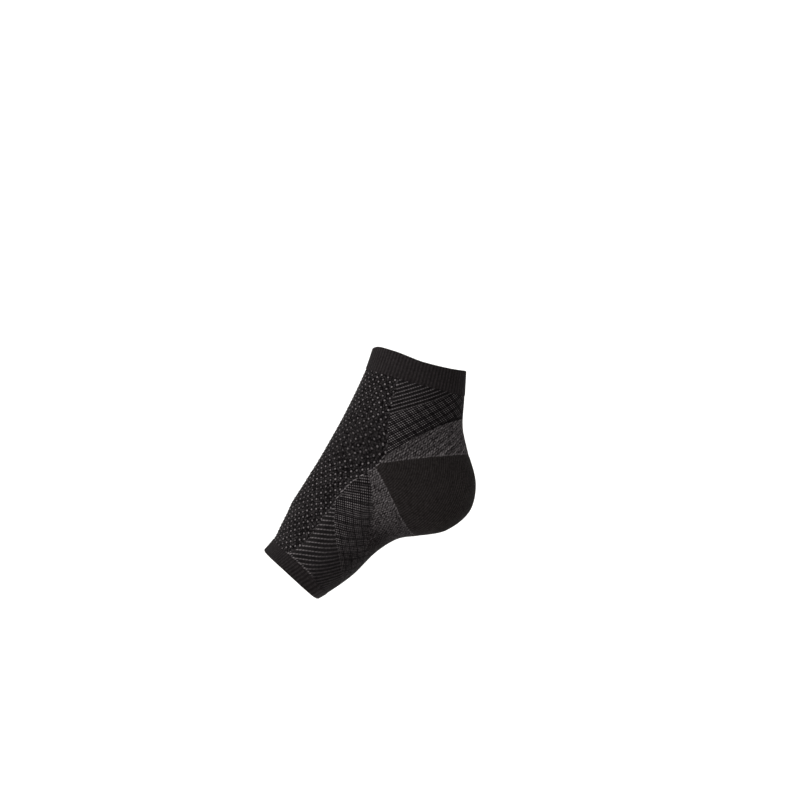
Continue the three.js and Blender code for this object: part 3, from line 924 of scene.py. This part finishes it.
# Climb of a rib for each metre round, the lengths round between which it grows steeper, and by how much
ARCH_RIB_RISE = 0.65
ARCH_RIB_BEND = (0.052, 0.075, 0.68)
ARCH_BEAD = 0.0021
CLOSING_DASH = 0.0019
# Rise and base of the light on the ribs, on the beads along them, and on the fainter ribs under the sole
ARCH_RIB_LIGHT = (0.56, 0.036)
ARCH_BEAD_LIGHT = (0.65, 0.35)
FAINT_RIB_LIGHT = (0.18, 0.045)
# Painted shade: how far the light yarn fades towards the sole, and between which lengths round
ARCH_RIB_SOLE_SHADE = 0.45
ARCH_RIB_FADE_ROUND = (0.050, 0.070)
# How far the ribs brighten at the instep and at the arch panel, and the closing course's light, with the
# shares of the way to the instep, or the distances from the arch panel, between which they set in
END_BRIGHTER = 0.4
END_SIDES = (0.90, 0.97)
BORDER_BRIGHTER = 0.6
BORDER_WIDTHS = (0.0018, 0.0006)
CLOSING_LIGHT = 0.5
CLOSING_SIDES = (0.58, 0.66)
at, angle, _, side = wrap_grid(ARCH_TO_RIBS, (TOE_CUFF_EDGE, TOE_CUFF_EDGE, 1.0), rows=121, columns=381)
across = knit_length(ROUND_TABLE, at, angle)
from_toes = toe_length(at, angle)
bend_start, bend_end, steeper = ARCH_RIB_BEND
climb = ARCH_RIB_RISE * across + steeper * soft_ramp(bend_start, bend_end, across)
arch_rib_phase = (from_toes - ARCH_RIB_START - climb) / ARCH_RIB_SPACING
to_cuff = from_toes - toe_length(np.full_like(at, TOE_CUFF_EDGE), angle)
maps = {
    "stitches": np.stack([across, from_toes], axis=-1) / STITCH,
    "pattern": np.stack([arch_rib_phase, across / ARCH_BEAD], axis=-1),
    "edge": np.stack([to_cuff, across / CLOSING_DASH], axis=-1),
}
faded = soft_step(*ARCH_RIB_FADE_ROUND, across)
# The strength takes painted shade towards the sole
strength = (1.0 - ARCH_RIB_SOLE_SHADE * faded) * (1.0 + END_BRIGHTER * soft_step(*END_SIDES, side))
from_arch = grid_lengths(at, angle, 0)
strength = strength * (1.0 + BORDER_BRIGHTER * soft_step(*BORDER_WIDTHS, from_arch))
yarn = {
    "light_yarn": (strength, INSIDE_LIGHT),
    "even_yarn": (faded, 0.0),
    "float_yarn": (CLOSING_LIGHT * soft_step(*CLOSING_SIDES, side), 0.0),
}
crest = ARCH_RIB_HEIGHT * ridge_lines(arch_rib_phase, 3)
arch_rib = knit_wall("arch_rib_knit", at, angle, crest, yarn, -PANEL_WALL, maps)


def beaded_ribs(tree):
    """Share of light: a thin line on each crest, beaded by the stitches it runs over, which turns into a
    broader and fainter one as even_yarn says."""
    rib, run = map_parts(tree, "pattern")
    line = yarn_ridges(tree, rib, sharpness=7.0)
    beads = yarn_ridges(tree, run, sharpness=1.0, light=ARCH_BEAD_LIGHT)
    beaded = add_node(tree, "Math", [line, beads], operation="MULTIPLY")
    beaded = add_node(tree, "Math", [beaded, *ARCH_RIB_LIGHT], operation="MULTIPLY_ADD")
    even = add_node(tree, "Attribute", [], output="Fac", attribute_name="even_yarn")
    faint = yarn_ridges(tree, rib, sharpness=2.0, light=FAINT_RIB_LIGHT)
    return add_node(tree, "Mix", {0: even, 2: beaded, 3: faint}, data_type="FLOAT")


# Rib jacquard of black nylon with grey crests: matt, with thin beaded light lines
arch_rib_knit = knit_material(
    "nylon rib jacquard knit", ground="#090607", light=LIGHT_YARN, grain=0.4, relief=STITCH_RELIEF,
    pattern=beaded_ribs, floats=True
)
dress(arch_rib, arch_rib_knit, "arch_rib_panel")

# Toe cuff
# The welt that ends the sleeve at the toes: knitted double in the same black rib as the leg cuff, but
# narrower, with a soft fold for its free edge.
toe_down, toe_heights = cuff_profile(TOE_RIM - TOE_CUFF_EDGE, rows=20)
at, angle = np.meshgrid((TOE_RIM - toe_down)[::-1], CUFF_TURN, indexing="ij")
toe_cuff = knit_wall("toe_cuff_welt", at, angle, *cuff(at, angle, toe_heights[::-1], light=0.9), ring=True)
dress(toe_cuff, plain_rib_knit, "toe_cuff")

# Studio
# A pale sweep of painted board under and far behind the sleeve, a broad soft light from the upper left, and
# the camera square to the side.
FLOOR = -0.60
BOARD_HALF_WIDTH = 9.0
BOARD_FRONT = -8.0
BOARD_TOP = 8.0
SWEEP_START = 3.0
SWEEP_RADIUS = 1.5
sweep_turn = np.linspace(0, math.pi / 2, 24)[1:]
curve_y = SWEEP_START + SWEEP_RADIUS * np.sin(sweep_turn)
curve_z = SWEEP_RADIUS - SWEEP_RADIUS * np.cos(sweep_turn)
sweep_y = np.concatenate([[BOARD_FRONT, SWEEP_START], curve_y, curve_y[-1:]])
sweep_z = np.concatenate([[0.0, 0.0], curve_z, [BOARD_TOP]]) + FLOOR
sweep_x = np.array([-BOARD_HALF_WIDTH, BOARD_HALF_WIDTH])
edges = np.broadcast_arrays(sweep_x[None, :], sweep_y[:, None], sweep_z[:, None])
points = np.stack(edges, axis=-1).reshape(-1, 3)
k = np.arange(len(sweep_y) - 1)[:, None] * 2
sweep_mesh = bpy.data.meshes.new("studio_sweep")
sweep_mesh.from_pydata(points.tolist(), [], np.concatenate([k, k + 1, k + 3, k + 2], axis=1).tolist())
sweep_mesh.shade_smooth()
# Matt white paint: even and pale, without gloss
board = bpy.data.materials.new("matt white paint")
board.use_nodes = True
paint = board.node_tree.nodes["Principled BSDF"]
paint.inputs["Base Color"].default_value = linear("#f4f3f2")
paint.inputs["Roughness"].default_value = 0.9
sweep_mesh.materials.append(board)
sweep = bpy.data.objects.new("studio_sweep", sweep_mesh)
bpy.context.scene.collection.objects.link(sweep)

world = bpy.data.worlds.new("studio_air")
world.use_nodes = True
background = world.node_tree.nodes["Background"]
background.inputs["Color"].default_value = (1.0, 1.0, 1.0, 1.0)
background.inputs["Strength"].default_value = 0.35
bpy.context.scene.world = world


def soft_light(name, place, target, size, power):
    """A square area light at a place, turned to face a target."""
    lamp = bpy.data.lights.new(name, "AREA")
    lamp.size = size
    lamp.energy = power
    light = bpy.data.objects.new(name, lamp)
    light.location = place
    aim = Vector(target) - Vector(place)
    light.rotation_euler = aim.to_track_quat("-Z", "Y").to_euler()
    bpy.context.scene.collection.objects.link(light)


soft_light("key_light", (-1.3, -1.2, 1.0), target=(0.0, 0.0, -0.02), size=0.9, power=25.0)
soft_light("backdrop_light", (0.0, 1.8, 2.6), target=(0.0, 4.2, -0.2), size=3.0, power=140.0)

# The frame is 800 pixels wide, each 0.75 mm at the sleeve's mid plane
FRAME_WIDTH = 800 * 0.00075
CAMERA_DISTANCE = 1.6
camera = bpy.data.objects.new("camera", bpy.data.cameras.new("camera"))
camera.data.sensor_width = 36.0
camera.data.lens = camera.data.sensor_width * CAMERA_DISTANCE / FRAME_WIDTH
camera.location = (-0.00375, -CAMERA_DISTANCE, 0.02775)
camera.rotation_euler = (math.pi / 2, 0.0, 0.0)
bpy.context.scene.collection.objects.link(camera)
bpy.context.scene.camera = camera
bpy.context.scene.view_settings.view_transform = "Standard"
